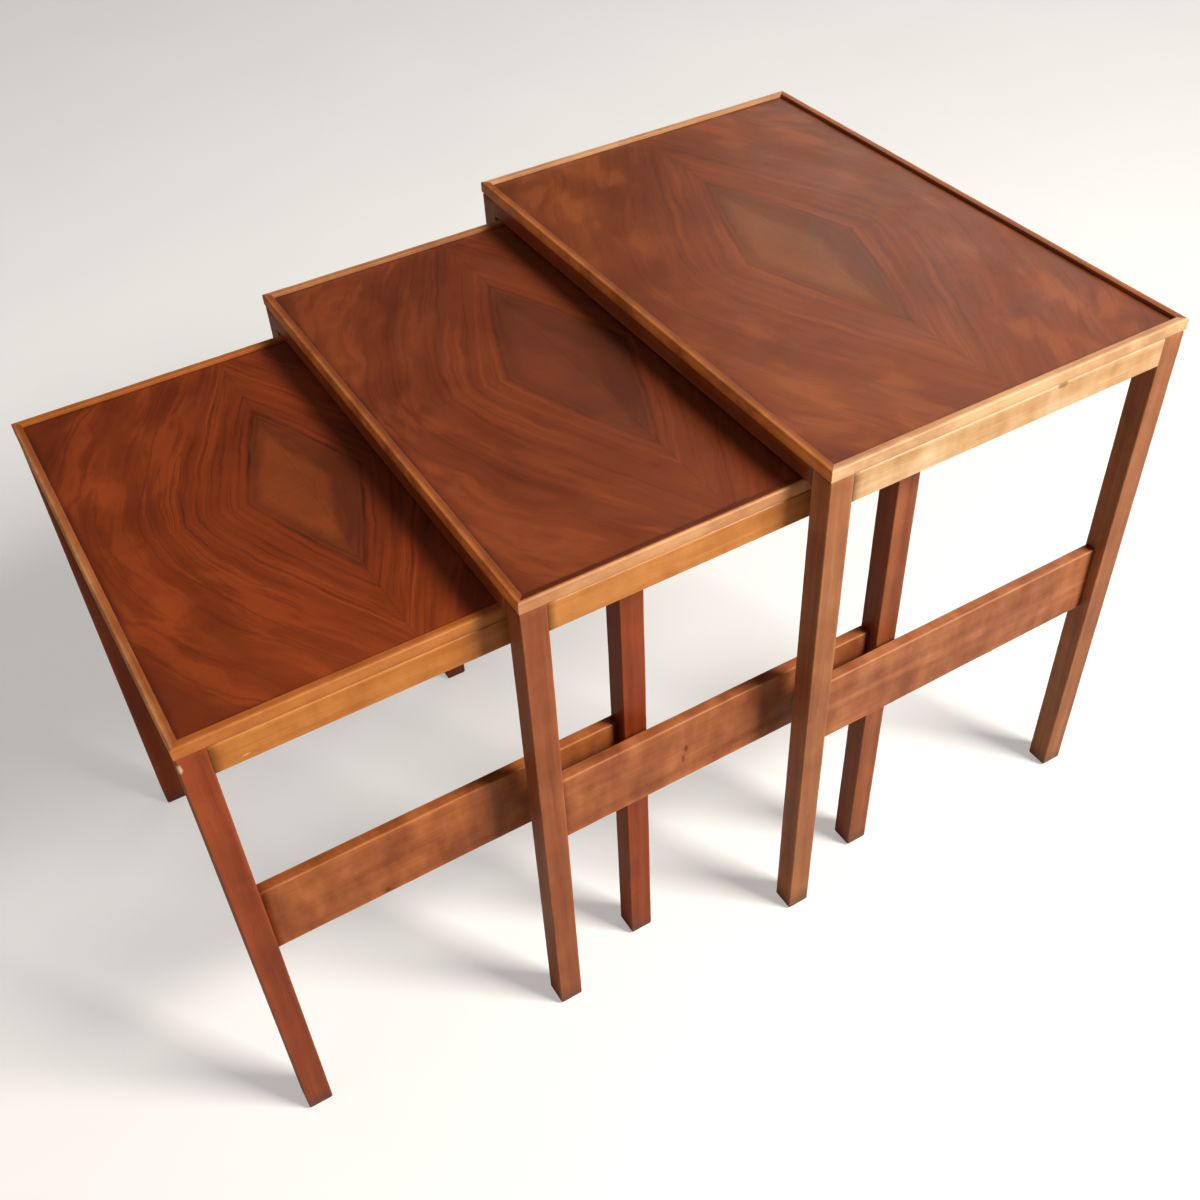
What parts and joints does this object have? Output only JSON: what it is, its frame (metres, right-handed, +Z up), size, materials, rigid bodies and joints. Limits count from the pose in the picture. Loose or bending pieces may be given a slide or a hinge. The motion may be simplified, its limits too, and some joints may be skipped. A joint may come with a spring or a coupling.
{
  "type": "nest of tables",
  "caption": "Nest of walnut side tables in stepped sizes with diamond-matched veneer tops, raised lippings, square legs and side stretchers; the smaller ones slide under.",
  "frame": {"origin": "on the floor, under the middle of the nest's footprint as it stands pulled out", "axes": "+Z up; X along the long edges of the tops; -Y the way the smaller tables pull out"},
  "size_m": [0.5, 0.772, 0.5],
  "materials": {
    "veneer_large": "four-way matched walnut veneer, satin",
    "veneer_medium": "four-way matched walnut veneer, satin",
    "veneer_small": "four-way matched walnut veneer, satin",
    "lip_across": "solid walnut, grain along X, satin",
    "lip_along": "solid walnut, grain along Y, satin",
    "leg": "solid walnut, grain along Z, satin",
    "side_rail": "solid walnut, grain along Y, satin",
    "stretcher": "solid walnut, grain along Y, satin",
    "front_rail": "solid walnut, grain along X, satin",
    "back_rail": "solid walnut, grain along X, satin",
    "ply_core": "birch ply",
    "backing_veneer": "plain balancing veneer, matt",
    "screw": "dull steel, slotted"
  },
  "bodies": {
    "large": {"large_lip_front": "lip_across", "large_lip_right": "lip_along", "large_lip_back": "lip_across", "large_lip_left": "lip_along", "large_top_veneer": "veneer_large", "large_top_core": "ply_core", "large_backing_veneer": "backing_veneer", "large_leg_front_left": "leg", "large_leg_front_right": "leg", "large_leg_back_left": "leg", "large_leg_back_right": "leg", "large_side_rail_left": "side_rail", "large_side_rail_right": "side_rail", "large_front_rail": "front_rail", "large_back_rail": "back_rail", "large_stretcher_left": "stretcher", "large_stretcher_right": "stretcher", "large_top_screws": "screw"},
    "medium": {"medium_lip_front": "lip_across", "medium_lip_right": "lip_along", "medium_lip_back": "lip_across", "medium_lip_left": "lip_along", "medium_top_veneer": "veneer_medium", "medium_top_core": "ply_core", "medium_backing_veneer": "backing_veneer", "medium_leg_front_left": "leg", "medium_leg_front_right": "leg", "medium_leg_back_left": "leg", "medium_leg_back_right": "leg", "medium_side_rail_left": "side_rail", "medium_side_rail_right": "side_rail", "medium_front_rail": "front_rail", "medium_back_rail": "back_rail", "medium_stretcher_left": "stretcher", "medium_stretcher_right": "stretcher", "medium_top_screws": "screw"},
    "small": {"small_lip_front": "lip_across", "small_lip_right": "lip_along", "small_lip_back": "lip_across", "small_lip_left": "lip_along", "small_top_veneer": "veneer_small", "small_top_core": "ply_core", "small_backing_veneer": "backing_veneer", "small_leg_front_left": "leg", "small_leg_front_right": "leg", "small_leg_back_left": "leg", "small_leg_back_right": "leg", "small_side_rail_left": "side_rail", "small_side_rail_right": "side_rail", "small_front_rail": "front_rail", "small_back_rail": "back_rail", "small_stretcher_left": "stretcher", "small_stretcher_right": "stretcher", "small_top_screws": "screw"}
  },
  "joints": [
    {"name": "medium_slide", "type": "slide", "parent": "large", "child": "medium", "axis": [0, -1, 0], "range_m": [-0.205, 0.12]},
    {"name": "small_slide", "type": "slide", "parent": "medium", "child": "small", "axis": [0, -1, 0], "range_m": [-0.205, 0.12]}
  ]
}
